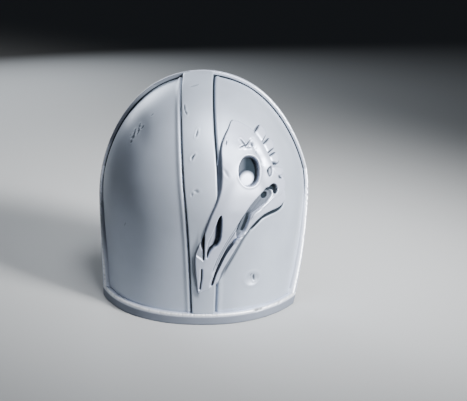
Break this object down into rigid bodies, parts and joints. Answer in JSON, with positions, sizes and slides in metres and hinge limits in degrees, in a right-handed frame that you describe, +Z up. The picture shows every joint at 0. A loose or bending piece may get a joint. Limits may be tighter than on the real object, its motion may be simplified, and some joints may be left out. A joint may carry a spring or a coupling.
{
  "type": "pauldron",
  "caption": "Domed shoulder guard with raised borders, a raised center band and a horse's skull in relief, hollow and open below and behind.",
  "frame": {"origin": "middle of the outer box, on the surface that the bottom border rests on", "axes": "+Z up, -Y out of the face with the relief, +Y towards the wearer's neck side, which is open, +X to the right seen from the face"},
  "size_m": [0.2575, 0.1516, 0.2636],
  "materials": {
    "plate_metal": "satin, lightly dented and scratched",
    "border_metal": "satin, worn bright on the corners",
    "relief_metal": "satin, darker in the recesses"
  },
  "bodies": {
    "root": {"shell": "plate_metal", "center_band": "plate_metal", "bottom_rim": "border_metal", "left_rim": "border_metal", "right_rim": "border_metal", "top_rim": "border_metal", "horse_skull": "relief_metal", "lower_jaw": "relief_metal", "neck_vertebra_1": "relief_metal", "neck_vertebra_2": "relief_metal", "neck_vertebra_3": "relief_metal", "neck_vertebra_4": "relief_metal"}
  },
  "joints": []
}
